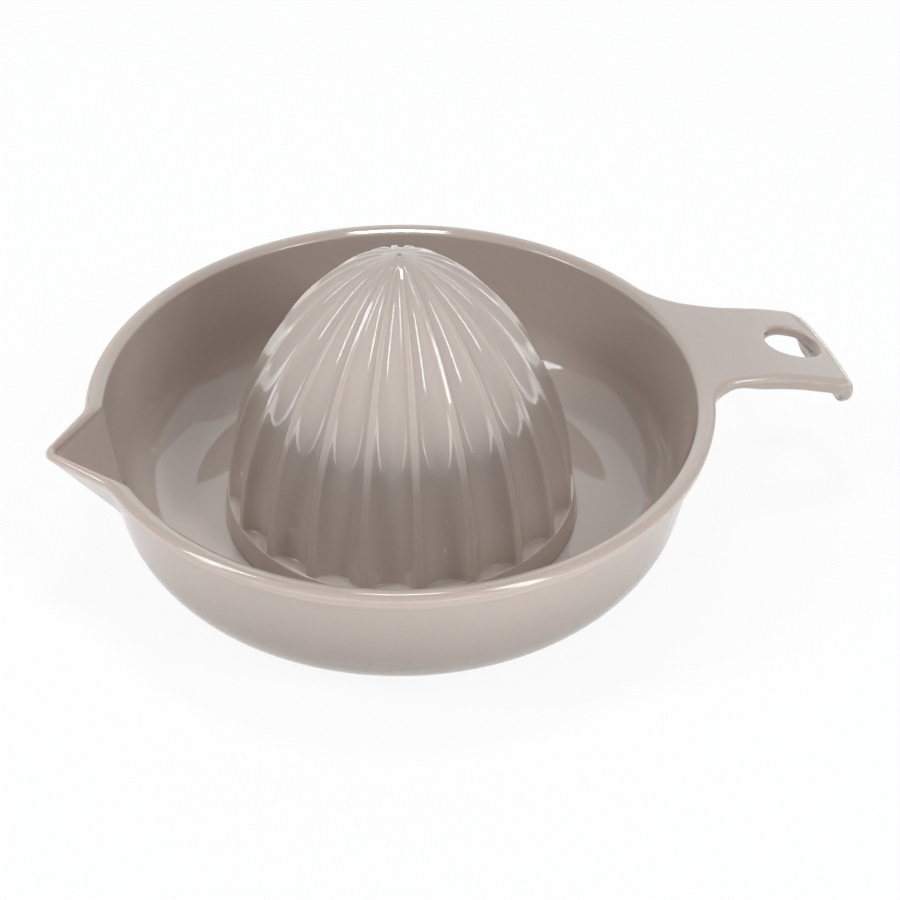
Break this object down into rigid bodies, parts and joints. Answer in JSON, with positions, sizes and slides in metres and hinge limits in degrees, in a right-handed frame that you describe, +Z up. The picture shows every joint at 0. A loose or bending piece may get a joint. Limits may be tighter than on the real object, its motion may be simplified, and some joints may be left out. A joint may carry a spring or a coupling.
{
  "type": "citrus juicer",
  "caption": "Round juicer dish with a V-shaped pouring spout and a hooked hanging handle, and a hollow ribbed reamer cone that seats on its floor and lifts off.",
  "frame": {"origin": "on the axis of the dish, in the plane of the foot ring that it stands on", "axes": "+Z up along the axis of the reamer cone, +X towards the handle, so the spout points to -X"},
  "size_m": [0.1829, 0.1398, 0.0738],
  "materials": {
    "dish_plastic": "glossy, slightly translucent taupe plastic",
    "cone_plastic": "glossy, slightly translucent taupe plastic"
  },
  "bodies": {
    "dish": {"juice_dish": "dish_plastic"},
    "reamer": {"reamer_cone": "cone_plastic"}
  },
  "joints": [
    {"name": "reamer_lift", "type": "slide", "parent": "dish", "child": "reamer", "axis": [0, 0, 1], "range_m": [0, 0.06]}
  ]
}
